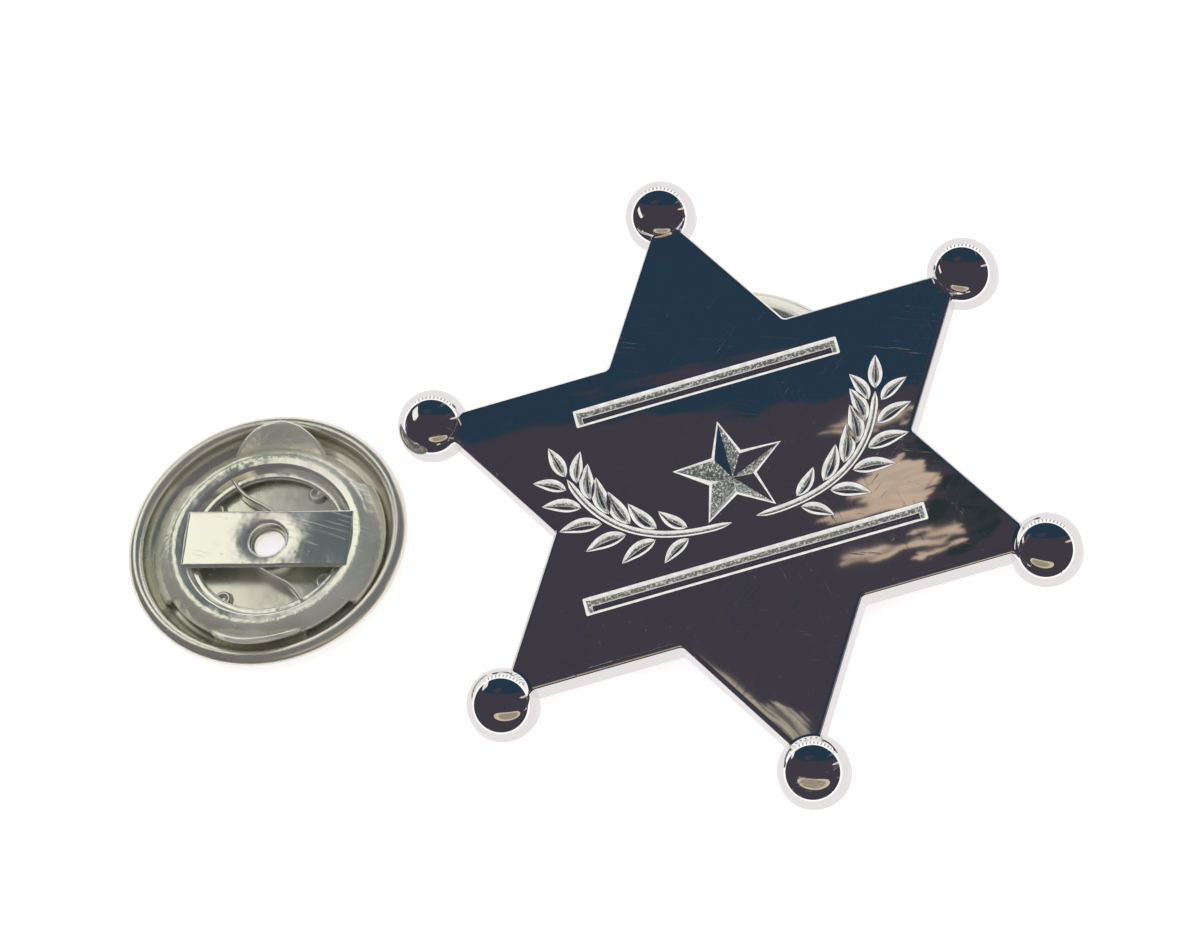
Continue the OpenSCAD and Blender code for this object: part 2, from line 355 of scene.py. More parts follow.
def speckGroup():
    # Specks and pinholes: small rounds about scattered cell points, only in cells whose own number is high
    group, given, made = newGroup("tinySpecks", "Mask", Scale=900.0, Size=0.12, Rarity=0.8)
    cells = cellsNode(group, given["Place"], given["Scale"])
    shade = addNode(group, "ShaderNodeSeparateColor", {0: cells["Color"]}).outputs
    chosen = mathNode(group, "GREATER_THAN", shade[0], given["Rarity"])
    dot = mathNode(group, "LESS_THAN", cells["Distance"], times(group, given["Size"], shade[1]))
    feed(group, made, {"Mask": times(group, dot, chosen)})
    return group


def swellGroup():
    # The slow, uneven swell that hand polishing leaves in a flat plated face
    group, given, made = newGroup("polishSwell", "Height", Scale=220.0)
    feed(group, made, {"Height": noiseNode(group, given["Place"], given["Scale"], 1.0, Roughness=0.35)})
    return group


fineScratches, tinySpecks, polishSwell = scratchGroup(), speckGroup(), swellGroup()


def useGroup(tree, group, **links):
    return addNode(tree, "ShaderNodeGroup", links, node_tree=group).outputs[0]


def newMaterial(name):
    material = bpy.data.materials.new(name)
    material.use_nodes = True
    return material, material.node_tree, material.node_tree.nodes["Principled BSDF"]


def startMetal(name, look):
    material, tree, shader = newMaterial(name)
    feed(tree, shader, {"Base Color": look["color"], "Metallic": look["metal"], "Roughness": look["rough"]})
    return material, tree, shader, tree.nodes.new("ShaderNodeTexCoord").outputs["Object"]


def addBump(tree, shader, height, distance, under=None):
    links = {"Height": height, "Distance": distance, "Strength": 1.0}
    if under is not None:
        links["Normal"] = under
    normal = addNode(tree, "ShaderNodeBump", links).outputs["Normal"]
    feed(tree, shader, {"Normal": normal})
    return normal


def polishedNickel(look):
    # A mirror polish: a slow swell, scratches in a few directions, scarce specks and a faint haze
    material, tree, shader, place = startMetal("polishedNickel", look)
    swell = useGroup(tree, polishSwell, Place=place, Scale=look["swellScale"])
    normal = addBump(tree, shader, swell, look["swellDepth"])
    marks = None
    for angle, amount in look["scratches"]:
        mask = useGroup(tree, fineScratches, Place=place, Angle=np.radians(angle), Amount=amount)
        marks = mask if marks is None else mathNode(tree, "MAXIMUM", marks, mask)
    marks = mathNode(tree, "MAXIMUM", marks, useGroup(tree, tinySpecks, Place=place, **look["specks"]))
    addBump(tree, shader, marks, look["markDepth"], under=normal)
    haze = noiseNode(tree, place, look["hazeScale"], 3.0)
    rough = rampNode(tree, haze, 0.35, 0.75, look["rough"], look["hazy"])
    feed(tree, shader, {"Roughness": mathNode(tree, "MULTIPLY_ADD", marks, look["markRough"], rough)})
    return material


def granularNickel(look):
    # The cast flanks of the cuts: grains of two sizes, dull and dark between pale peaks
    material, tree, shader, place = startMetal("granularNickel", look)
    fine = noiseNode(tree, place, look["grain"], 3.0)
    coarse = cellsNode(tree, place, look["coarse"])["Distance"]
    addBump(tree, shader, mathNode(tree, "MULTIPLY_ADD", coarse, 0.8, fine), look["depth"])
    peaks = rampNode(tree, fine, 0.46, 0.66)
    feed(tree, shader, {"Base Color": mixColor(tree, peaks, look["color"], look["bright"]),
                        "Metallic": mathNode(tree, "MULTIPLY_ADD", peaks, -look["chalk"], look["metal"])})
    return material


def paintedEdgeHighlight(look):
    # Cut edges and creases: a painted highlight, pale and mostly dull, with a trace of polish left in it
    material, tree, shader, place = startMetal("paintedCutEdgeHighlight", look)
    highlightGrain = noiseNode(tree, place, look["grain"], 2.0)
    feed(tree, shader, {"Metallic": rampNode(tree, highlightGrain, 0.3, 0.7, look["metal"], look["polish"])})
    addBump(tree, shader, highlightGrain, look["depth"])
    return material


def stampedNickel(name, look, marks):
    # Barrel-plated sheet: a warm cast in patches, small dents, fine pits and long rubbed scratches
    material, tree, shader, place = startMetal(name, look)
    tone = noiseNode(tree, place, marks["toneScale"], 3.0)
    warmth = rampNode(tree, tone, 0.35, 0.7)
    normal = addBump(tree, shader, noiseNode(tree, place, look["dentScale"], 2.0), look["dentDepth"])
    pits = useGroup(tree, tinySpecks, Place=place, **marks["pits"])
    rubs = useGroup(tree, fineScratches, Place=place, **marks["rubs"])
    mask = mathNode(tree, "MAXIMUM", pits, rubs)
    addBump(tree, shader, mask, marks["depth"], under=normal)
    rough = rampNode(tree, tone, 0.3, 0.75, look["rough"], look["hazy"])
    feed(tree, shader, {"Base Color": mixColor(tree, warmth, look["color"], look["warm"]),
                        "Roughness": mathNode(tree, "MULTIPLY_ADD", mask, marks["rough"], rough)})
    return material


starPolish = {
    "color": (0.84, 0.85, 0.84), "metal": 1.0, "rough": 0.008, "hazy": 0.016, "hazeScale": 300.0,
    "swellScale": 260.0, "swellDepth": 2.2e-6, "scratches": [(24, 0.6), (-38, 0.5), (80, 0.4)],
    "specks": {"Scale": 900.0, "Size": 0.10, "Rarity": 0.86}, "markDepth": 3e-6, "markRough": 0.16,
}
cutFinish = {
    "color": (0.42, 0.47, 0.40), "bright": (0.96, 0.94, 0.90), "metal": 0.8, "chalk": 0.6, "rough": 0.3,
    "grain": 12000.0, "coarse": 5400.0, "depth": 3.5e-5,
}
# The painted highlight on the cut lips and on the line above each crease
edgeHighlightLook = {
    "color": (0.96, 0.94, 0.90), "metal": 0.0, "polish": 0.25, "rough": 0.35, "grain": 3600.0,
    "depth": 1.75e-5,
}
sheetMarks = {
    "toneScale": 260.0, "pits": {"Scale": 2600.0, "Size": 0.3, "Rarity": 0.82},
    "rubs": {"Angle": 0.6, "Amount": 0.7}, "depth": 4e-6, "rough": 0.15,
}
cupFinish = {
    "color": (0.84, 0.86, 0.74), "warm": (0.95, 0.91, 0.80), "metal": 0.91, "rough": 0.22, "hazy": 0.34,
    "dentScale": 900.0, "dentDepth": 2.6e-5,
}
springFinish = {
    "color": (0.88, 0.91, 0.80), "warm": (0.97, 0.94, 0.87), "metal": 0.91, "rough": 0.13, "hazy": 0.27,
    "dentScale": 1100.0, "dentDepth": 2.8e-5,
}
satinFinish = {
    "color": (0.78, 0.81, 0.67), "warm": (0.96, 0.93, 0.82), "metal": 0.75, "rough": 0.18, "hazy": 0.34,
    "dentScale": 2400.0, "dentDepth": 4e-5,
}

# The star's third material paints the highlight on the cut lips and above the creases
starMirror, starCuts, starEdgeHighlight = polishedNickel(starPolish), granularNickel(cutFinish), paintedEdgeHighlight(edgeHighlightLook)
cupMetal = stampedNickel("stampedCupNickel", cupFinish, sheetMarks)
springMetal = stampedNickel("stampedSpringNickel", springFinish, sheetMarks)
satinMetal = stampedNickel("satinSpringNickel", satinFinish, sheetMarks)
print("materials ready")

# Star

starSize = {
    # Where the middle of its back is, and its lean in degrees
    "middle": (6.0207, 0.0282, 1.5797), "lean": 5.668,
    "reach": 12.7, "thick": 1.1, "edge": 0.18, "backEdge": 0.06, "tipRound": 0.35, "notchRound": 0.22,
    "ballR": 1.43, "ballMid": 0.5, "ballSteps": 112, "postR": 0.5, "postTipR": 0.16, "postSteps": 48,
    "postAt": (0.55, 3.7), "seatGap": 0.15, "postShort": 0.1,
}
cutSize = {
    "top": starSize["thick"], "lip": 0.07, "support": 0.02, "slope": 1.0,
    "barWidth": 0.7, "topBar": (4.5, 10.8), "lowBar": (-3.6, 13.8),     # height in the face, and length
    # The small star's outer radius, inner radius and depth, and the places of the points on each of its sides
    "ornamentY": 0.35, "smallStar": (2.3, 0.98, 0.5), "facet": [0, 0.03, 0.1, 0.25, 0.5, 0.75, 0.9, 0.97],
    # A leaf's length and width; then each pair of leaves by its place along the stem and its scale
    "leaf": (1.6275, 0.594), "endLeaf": (1.4, 0.528), "leafStart": 0.42, "leafAngle": 40, "leafBow": 0.06,
    "leaves": [(0.16, 0.8), (0.32, 0.95), (0.48, 1), (0.63, 1), (0.78, 0.92), (0.91, 0.8)],
    "stemWidth": 0.24, "stemFoot": (0.043, -0.169), "stemBend": (0.417, -0.181), "stemHead": (0.5, 0.138),
}


def onStar(points):
    # From the star's own millimetres to the frame's metres
    y, z = spun(points[..., 1], points[..., 2], np.radians(starSize["lean"]))
    return (np.stack([points[..., 0], y, z], -1) + np.array(starSize["middle"])) * mm


def starOutline(size):
    notch = np.arange(12) % 2 == 0
    radius = np.where(notch, size["reach"] / np.sqrt(3), size["reach"])
    corners = radius[:, None] * unitAt(np.radians(np.arange(12) * 30))
    return rounded(corners, np.where(notch, size["notchRound"], size["tipRound"]), steps=7, support=0.04)


def atHeight(flat, height):
    return np.column_stack([flat, np.broadcast_to(height, len(flat))])


def cutWalls(outline, spine, depth, size):
    # From the face a cut rounds over a lip, runs down its sloped wall and ends on its spine:
    # the share s of the way from outline to spine gives depth times a ramp that starts as a parabola
    start = np.clip(size["lip"] / np.linalg.norm(spine - outline, axis=1), 0, 0.35)
    shares = [start * 2 * s for s in (0, 0.25, 0.5, 0.75, 1.0)]
    shares += [2 * start + (1 - 2 * start) * s for s in (0.55, 0.67, 0.85, 1.0)]
    strip = outline + pathSides(outline, True) * -size["support"]
    walls = [atHeight(strip, size["top"])]
    for s in shares:
        ramp = np.where(s < 2 * start, s * s / (4 * start * (1 - start)), (s - start) / (1 - start))
        walls.append(atHeight(outline + (spine - outline) * s[:, None], size["top"] - depth * ramp))
    return strip, np.array(walls)


def barCut(y, length, size):
    # A rectangle widened by its lip, and the crease that each of its points runs down to
    halfX, halfY = (length + size["lip"]) / 2, (size["barWidth"] + size["lip"]) / 2
    corners = np.array([[-halfX, -halfY], [halfX, -halfY], [halfX, halfY], [-halfX, halfY]])
    loop = finely(rounded(corners, 0.06, steps=5, support=0.03), 0.4)
    crease = (length - size["barWidth"]) / 2
    spine = np.stack([np.clip(loop[:, 0], -crease, crease), np.zeros(len(loop))], -1)
    shift = np.array([0, y])
    return loop + shift, spine + shift, np.full(len(loop), size["barWidth"] / 2 * size["slope"])


def swellingCut(path, widths, size):
    # A cut along a path whose width at each point sets the depth there, pointed at both ends
    offset = pathSides(path, False) * (widths[:, None] / 2 + size["lip"] * 0.35)
    ahead, behind = (unitOf(step) * 0.05 for step in (path[-1] - path[-2], path[0] - path[1]))
    outline = np.vstack([path[:1] + behind, path - offset, path[-1:] + ahead, (path + offset)[::-1]])
    spine = np.vstack([path[:1], path, path[-1:], path[::-1]])
    depth = np.concatenate([widths[:1], widths, widths[-1:], widths[::-1]]) / 2 * size["slope"] + 0.008
    return outline, spine, depth


def stemPoint(t, size):
    # The stem curves from its foot to its head, drawn towards a bend: (1-t)^2 foot + 2t(1-t) bend + t^2 head
    foot, bend, head = np.array([size["stemFoot"], size["stemBend"], size["stemHead"]]) * starSize["reach"]
    t = np.asarray(t, float)[..., None]
    way = 2 * (1 - t) * (bend - foot) + 2 * t * (head - bend)
    point = (1 - t) ** 2 * foot + 2 * t * (1 - t) * bend + t * t * head
    return point, unitOf(way)


def leafCut(root, way, form, bow, size):
    # A leaf that bows sideways and is widest a little nearer to its root
    length, width = form
    share = (1 - np.cos(np.linspace(0, np.pi, 15))) / 2
    side = np.array([-way[1], way[0]])
    path = root + np.outer(share * length, way) + np.outer(np.sin(np.pi * share) * bow * length, side)
    widths = width * np.sin(np.pi * share ** 0.8) ** 0.85
    widths[[0, -1]] = 0
    return swellingCut(path, widths, size)


def laurelCuts(size):
    t = np.linspace(0.0, 0.985, 30)
    taper = np.clip(np.minimum(t, t[-1] - t) / 0.06, 0, 1)
    cuts = [swellingCut(stemPoint(t, size)[0], size["stemWidth"] * np.sin(taper * np.pi / 2), size)]
    for place, scale in size["leaves"]:
        point, way = stemPoint(place, size)
        for side in (-1, 1):
            aim = np.array(spun(way[0], way[1], np.radians(size["leafAngle"]) * side))
            cuts.append(leafCut(point + aim * size["leafStart"], aim, np.array(size["leaf"]) * scale,
                                -side * size["leafBow"], size))
    point, way = stemPoint(1.0, size)
    cuts.append(leafCut(point + way * 0.1, way, size["endLeaf"], 0, size))
    return cuts


def smallStarCut(size):
    outer, inner, deep = size["smallStar"]
    radius = np.where(np.arange(10) % 2 == 0, outer, inner) + size["lip"] / 2
    corners = radius[:, None] * unitAt(np.radians(90 + 36 * np.arange(10)))
    share = np.array(size["facet"])[None, :, None]
    loop = (corners[:, None] + (np.roll(corners, -1, 0) - corners)[:, None] * share).reshape(-1, 2)
    return loop, np.zeros_like(loop), np.full(len(loop), deep)


def allCuts(size):
    bars = [barCut(*size["topBar"], size), barCut(*size["lowBar"], size)]
    ornament, flip, shift = [smallStarCut(size)], np.array([-1, 1]), np.array([0, size["ornamentY"]])
    for outline, spine, depth in laurelCuts(size):
        ornament += [(outline, spine, depth), ((outline * flip)[::-1], (spine * flip)[::-1], depth[::-1])]
    return bars + [(outline + shift, spine + shift, depth) for outline, spine, depth in ornament]


def wallNumbers(faces, inwards, size):
    # A material for each face of a cut's walls: painted highlight 2 on the lip, mirror 0 where a wall faces
    # the top tip, cast 1 elsewhere, and a painted highlight line above the mirror crease. In the small star
    # facets alternate instead.
    smooth = (inwards + np.roll(inwards, -1, 0))[:, 1] > np.linalg.norm(inwards, axis=1)
    numbers = np.full(faces.shape[:2], 1)
    facet = len(size["facet"])
    if len(inwards) == 10 * facet:
        numbers[:, np.arange(10 * facet) // facet % 2 == 0] = 0
    else:
        numbers[:, smooth] = 0
        # a painted highlight line along row 6 of the cast walls
        numbers[6] = np.where(smooth, 0, 2)
        numbers[7:] = 0
    numbers[0] = 0
    # the lip rows are painted highlight
    numbers[1:5] = 2
    return numbers


def starParts(size, cuts):
    outline = starOutline(size)
    side = pathSides(outline, True)
    thick, edge, backEdge = size["thick"], size["edge"], size["backEdge"]
    # Rows of inset and height: a quarter circle from the face to the wall, the wall and a small back edge
    front, back = np.radians([90, 78, 64, 50, 36, 23, 11, 0]), np.radians([0, 30, 60, 90])
    rows = [(edge + 0.03, thick)]
    rows += [(edge * (1 - np.cos(a)), thick - edge * (1 - np.sin(a))) for a in front]
    rows += [(0, thick - edge - 0.03), (0, backEdge + 0.03)]
    rows += [(backEdge * (1 - np.cos(a)), backEdge * (1 - np.sin(a))) for a in back] + [(backEdge + 0.03, 0)]
    border = np.array([atHeight(outline + side * inset, z) for inset, z in rows])
    parts = [(border.reshape(-1, 3), [ringFaces(border)[:, ::-1]], 0)]
    loops = [outline + side * rows[0][0]]
    for cutLine, spine, depth in allCuts(cuts):
        strip, walls = cutWalls(cutLine, spine, depth, cuts)
        loops.append(strip)
        faces = ringFaces(walls).reshape(len(walls) - 1, -1, 4)
        numbers = wallNumbers(faces, spine - cutLine, cuts)
        parts += [(walls.reshape(-1, 3), [faces[numbers == kind]], kind) for kind in range(3)]
    # The face between all those loops, and the flat back
    for z, upwards, rings in ((thick, True, loops), (0.0, False, [border[-1][:, :2]])):
        triangles = np.array(tessellate_polygon([[Vector((*p, 0)) for p in ring] for ring in rings]))
        points = np.vstack(rings)
        a, b, c = (points[triangles[:, k]] for k in range(3))
        turn = (b[:, 0] - a[:, 0]) * (c[:, 1] - a[:, 1]) - (b[:, 1] - a[:, 1]) * (c[:, 0] - a[:, 0])
        wrong = (turn > 0) != upwards
        triangles[wrong] = triangles[wrong][:, ::-1]
        parts.append((atHeight(points, z), [triangles], 0))
    return parts


def domeParts(size):
    # A domed tip: the upper half of a ball on a short straight wall, with a softened foot
    ballR, ballMid, foot = size["ballR"], size["ballMid"], size["backEdge"]
    angle = np.radians(np.concatenate([[0.3, 1.2], np.linspace(3, 90, 42)]))
    upper = np.array([0, ballMid]) + ballR * unitAt(angle)[:, ::-1]
    lower = [[ballR, ballMid - 0.05], [ballR, foot + 0.03]]
    end = np.array([ballR - foot, foot]) + foot * unitAt(np.radians([0, -30, -60, -90]))
    inner = [[ballR - foot - 0.03, 0], [0.3, 0]]
    tips = size["reach"] * unitAt(np.radians(60 * np.arange(6) + 30))
    return turnedAt(np.vstack([upper, lower, end, inner]), size["ballSteps"], tips)


def postParts(size, length):
    # The post: a pin with a blunt cone at its end, a groove for the clutch's jaws and a solder fillet
    r, tipR = size["postR"], size["postTipR"]
    outline = np.array([
        [0.02, -length], [tipR * 0.7, -length], [tipR, -length + 0.04],
        [r * 0.97, -length + r - tipR], [r, -length + r - tipR + 0.05],
        [r, -length + 0.78], [r * 0.9, -length + 0.83], [r * 0.9, -length + 0.97], [r, -length + 1.02],
        [r, -0.24], [r * 1.04, -0.14], [r * 1.14, -0.06], [r * 1.3, -0.015], [r * 1.36, 0.02], [0.02, 0.02]])
    return turnedAt(outline, size["postSteps"], [size["postAt"]])


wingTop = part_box("loose_spring")[1][2] / mm     # the clutch's whole height, from the wings of the loose one
star = makePiece("starBadge", starParts(starSize, cutSize) + domeParts(starSize)
                 + postParts(starSize, starSize["seatGap"] + wingTop - starSize["postShort"]),
                 onStar, [starMirror, starCuts, starEdgeHighlight])
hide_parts("star_body")

# Clutches

clutchSize = {
    "radius": 5.75, "cupHeight": 1.25, "bead": 0.3, "cupSheet": 0.28, "boreR": 0.62, "boreLength": 0.6,
    "floorShare": 0.862, "fitGap": 0.05, "steps": 160,
    "stakeR": 0.36, "stakeHeight": 0.2, "stakeAt": 2.95, "stakeTurn": 11, "stakeSteps": 28,
    "springSheet": 0.25, "lipR": 3.75, "crestHeight": 1.08, "shoulderWidth": 5.4, "wingLength": 1.52,
    "wingFoot": 0.48, "wingBend": 4.6, "wingWidth": 3.8, "wingAngle": 58, "wingDish": 0.06,
    "bridgeWidth": 2.6, "bridgeLevel": 0.85, "holeR": 0.75, "jawSheet": 0.16,
    # The course of a jaw in shares of the lip's radius
    "jaw": [(-0.13, -0.27), (-0.03, -0.35), (0.13, -0.45), (0.29, -0.53), (0.4, -0.63), (0.48, -0.75)],
}


def twice(points, faces, number):
    # A part and its twin, half a turn away
    return [(points, faces, number), (points * halfTurn, faces, number)]


def cupParts(size):
    sheet = size["cupSheet"]
    mid = sheet / 2
    rim = np.array([size["radius"] - size["bead"], size["cupHeight"] - size["bead"]])
    # The sheet's middle line: up inside the drawn hole, out along the floor and up the flared wall to the rim
    course = (size["floorShare"], 0), (0.954, 0.247), (1, 1)
    wall = [(share * rim[0], mid + up * (rim[1] - mid)) for share, up in course]
    line = rounded([(size["boreR"] + mid, size["boreLength"] - 0.05), (size["boreR"] + mid, mid), *wall],
                   [0, 0.2, 0.5, 0.6, 0], steps=7, support=0.04, closed=False)
    side = pathSides(line, False) * mid
    # The rolled rim: a bead whose circle starts and ends where the wall's two sides run into it
    ahead = unitOf(np.array(wall[2]) - np.array(wall[1]))
    back, aside = ahead * np.sqrt(size["bead"] ** 2 - mid ** 2), np.array([ahead[1], -ahead[0]]) * mid
    start, stop = (np.arctan2(at[1], at[0]) for at in (aside - back, -aside - back))
    bead = rim + size["bead"] * unitAt(np.linspace(start, stop + 2 * np.pi if stop < start else stop, 26))
    lip = line[0] + unitAt(np.linspace(0, np.pi, 7)[1:-1]) * np.array([mid, 0.05])
    loop = np.vstack([(line - side)[:-1], bead, (line + side)[:-1][::-1], lip])
    # Four stakes: low round nubs pushed up through the floor, each with a dimple
    r, z = size["stakeR"], sheet + size["stakeHeight"]
    nub = np.array([
        [0.02, z - 0.07], [r * 0.35, z - 0.06], [r * 0.6, z - 0.01], [r * 0.8, z], [r * 0.95, z - 0.03],
        [r, z - 0.09], [r * 1.02, sheet + 0.03], [r * 1.15, sheet + 0.005], [r * 1.18, sheet - 0.03],
        [0.02, sheet - 0.03]])
    stakes = size["stakeAt"] * unitAt(np.radians(45 + 90 * np.arange(4) + size["stakeTurn"]))
    return [(*revolve(loop, size["steps"]), 0)] + turnedAt(nub, size["stakeSteps"], stakes)


def collarParts(size):
    half = size["springSheet"] / 2 * 0.92
    top, lip = size["crestHeight"] - half, size["lipR"]
    # The collar's middle line: a low flange inside, the wall up to the crest and a brim that falls outwards
    line = rounded([(lip - 0.62, 0.6), (lip - 0.42, 0.6), (lip - 0.22, top - 0.06), (lip + 0.2, top + 0.02),
                    (lip + 0.66, top - 0.3)], [0, 0.12, 0.14, 0.4, 0], steps=10, support=0.015, closed=False)
    points, faces = revolve(sheetLoop(line, half), size["steps"])
    # The brim outside the crest is satin, number 1, and the rest is bright, number 0
    brim = [np.linalg.norm(points[face].mean(axis=1)[:, :2], axis=1) > lip + 0.02 for face in faces]
    parts = [(points, [face[out == bool(number)] for face, out in zip(faces, brim)], number)
             for number in (0, 1)]
    # A shoulder: the same sheet carried on down to the cup's floor, cut straight across at half its width
    foot = size["floorShare"] * (size["radius"] - size["bead"]) - size["fitGap"] - 0.02
    footZ = size["cupSheet"] + size["fitGap"] + half
    run = rounded([(lip + 0.08, top), (lip + 0.3, top - 0.06), (lip + 0.72, footZ + 0.26),
                   (lip + 0.98, footZ + 0.07), (foot, footZ)],
                  [0, 0.22, 0.15, 0.06, 0], steps=8, support=0.01, closed=False)
    length, wide = lengthAlong(run), size["shoulderWidth"]
    stops = edgeSteps(length[-1], half, 16)
    r, z = pointsAt(stops, length, run).T
    across = edgeSteps(wide, half, 26) - wide / 2
    x = np.sqrt(r[:, None] ** 2 - across[None] ** 2)
    mid = np.stack(np.broadcast_arrays(x, across, z[:, None]), -1)
    edge = np.minimum(np.minimum(stops, length[-1] - stops)[:, None], (wide / 2 - np.abs(across))[None])
    return parts + twice(*sheetSkin(mid, normalsOf(mid), edge, half), 1)


def wingParts(size):
    half, foot, halfWide = size["springSheet"] / 2, size["wingFoot"], size["wingWidth"] / 2
    hinge = size["lipR"] + 2 * size["springSheet"]
    end = np.array([hinge, foot]) + size["wingLength"] * unitAt(np.radians(size["wingAngle"]))
    tabR = 1.12 * halfWide
    # The wing's middle line: a flat root below the lip, a bend, and a tab that rises to its round end
    line = rounded([(size["lipR"] - 0.42, foot), (hinge, foot), end], [0, 0.32, 0],
                   steps=8, support=0.04, closed=False)
    length = lengthAlong(line)
    middle = length[-1] - tabR
    early = edgeSteps(length[-1], half, 10)
    early = early[early < middle + 0.2]
    late = middle + tabR * np.sin(np.linspace(0, np.pi / 2, 24))
    stops = np.concatenate([early, late[late > early[-1] + 0.02]])
    beyond = np.maximum(stops - middle, 0)
    width = np.minimum(np.sqrt(np.clip(tabR ** 2 - beyond ** 2, 0, None)), halfWide)
    width[-1] = 0
    share = edgeSteps(2.0, half / halfWide * 1.2, 18) - 1
    x = width[:, None] * share[None]
    # The wing follows the collar round: its sides fall back by the square of x over twice the bend's radius
    y, z = pointsAt(stops, length, line).T[..., None]
    mid = np.stack(np.broadcast_arrays(x, y - x ** 2 / (2 * size["wingBend"]), z), -1)
    normal = normalsOf(mid[:-1])
    normal = np.concatenate([normal, normal[-1:]])
    # The tab is slightly dished: its middle sinks by a share of one minus the square of the place across it
    start = np.clip((stops - middle * 0.4) / tabR, 0, 1)[:, None]
    dish = size["wingDish"] * (1 - (x / halfWide) ** 2) * start
    mid = mid + normal * dish[..., None]
    mid[-1] = mid[-1].mean(0)
    tabEdge = tabR - np.sqrt(x ** 2 + beyond[:, None] ** 2)
    edge = np.minimum(np.minimum(halfWide - np.abs(x), tabEdge), stops[:, None])
    edge[-1] = 0
    edge[:, [0, -1]] = 0
    return twice(*sheetSkin(mid, normal, edge, half), 1)


def bridgeParts(size):
    half, holeR = size["springSheet"] / 2, size["holeR"]
    level = size["bridgeLevel"] + half
    reach, wide = size["lipR"] - 0.28, size["bridgeWidth"] / 2
    # From the hole's circle out to the strip's straight outline, along rays from the hole's middle
    corners = [(-reach, -wide), (reach, -wide), (reach, wide), (-reach, wide)]
    rim = finely(rounded(corners, 0.08, steps=4, support=0.05), 0.12)
    distance = np.linalg.norm(rim, axis=1)
    aim = rim / distance[:, None]
    share = [0, 0.004, 0.015, 0.04, 0.08, 0.12, 0.2, 0.35, 0.55, 0.75, 0.85, 0.9, 0.94, 0.97, 0.99, 1]
    radius = holeR + (distance - holeR)[:, None] * np.array(share)
    flat = aim[:, None] * radius[..., None]
    edge = np.minimum(radius - holeR, np.minimum(reach - np.abs(flat[..., 0]), wide - np.abs(flat[..., 1])))
    edge[:, [0, -1]] = 0
    drawn = np.exp(-((radius - holeR) / 0.3) ** 2) * 0.05     # the hole's edge is drawn down a little
    mid = np.concatenate([flat, (level - drawn)[..., None]], -1)
    mid, edge = (np.concatenate([rows, rows[:1]]) for rows in (mid, edge))
    parts = [(*sheetSkin(mid, np.broadcast_to([0.0, 0, 1], mid.shape), edge, half), 0)]
    # Each jaw is a thin upright strip that curves away from the bridge; its corners are smoothed by averaging
    knots = np.array(size["jaw"]) * size["lipR"]
    smooth = pointsAt(np.linspace(0, len(knots) - 1, 40), np.arange(len(knots)), knots)
    for _ in range(12):
        smooth[1:-1] = (smooth[:-2] + 2 * smooth[1:-1] + smooth[2:]) / 4
    run, thin = lengthAlong(smooth), size["jawSheet"] / 2
    stops = edgeSteps(run[-1], thin, 30)
    path = pointsAt(stops, run, smooth)
    low = size["cupSheet"] + size["fitGap"]
    rise = low + edgeSteps(level - low, thin, 4)
    mid = np.stack(np.broadcast_arrays(path[:, :1], path[:, 1:], rise), -1)
    normal = np.zeros_like(mid)
    normal[..., :2] = unitOf(pathSides(path, False))[:, None]
    edge = np.minimum(np.minimum(stops, run[-1] - stops)[:, None], np.minimum(rise - low, level - rise)[None])
    return parts + twice(*sheetSkin(mid, normal, edge, thin), 0)


def onBack(points):
    # The star's own clutch hangs face down on the post: x and y change places and its height runs backwards
    x, y, z = points[..., 0], points[..., 1], points[..., 2]
    at = starSize["postAt"]
    return onStar(np.stack([y + at[0], x + at[1], -starSize["seatGap"] - z], -1))


loosePlace = {"middle": (-12.6993, 4.3882), "turn": -18}


def loose(points):
    x, y = spun(points[..., 0], points[..., 1], np.radians(loosePlace["turn"]))
    return np.stack([x + loosePlace["middle"][0], y + loosePlace["middle"][1], points[..., 2]], -1) * mm


def makeClutch(label, place, cupNode, springNode):
    cup = makePiece(label + "Cup", cupParts(clutchSize), place, [cupMetal])
    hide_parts(cupNode)
    parts = collarParts(clutchSize) + wingParts(clutchSize) + bridgeParts(clutchSize)
    spring = makePiece(label + "Spring", parts, place, [springMetal, satinMetal])
    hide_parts(springNode)


makeClutch("backClutch", onBack, "clutch_cup", "clutch_spring")
makeClutch("looseClutch", loose, "loose_cup", "loose_spring")
print("pieces ready")

# Floor, light and surroundings

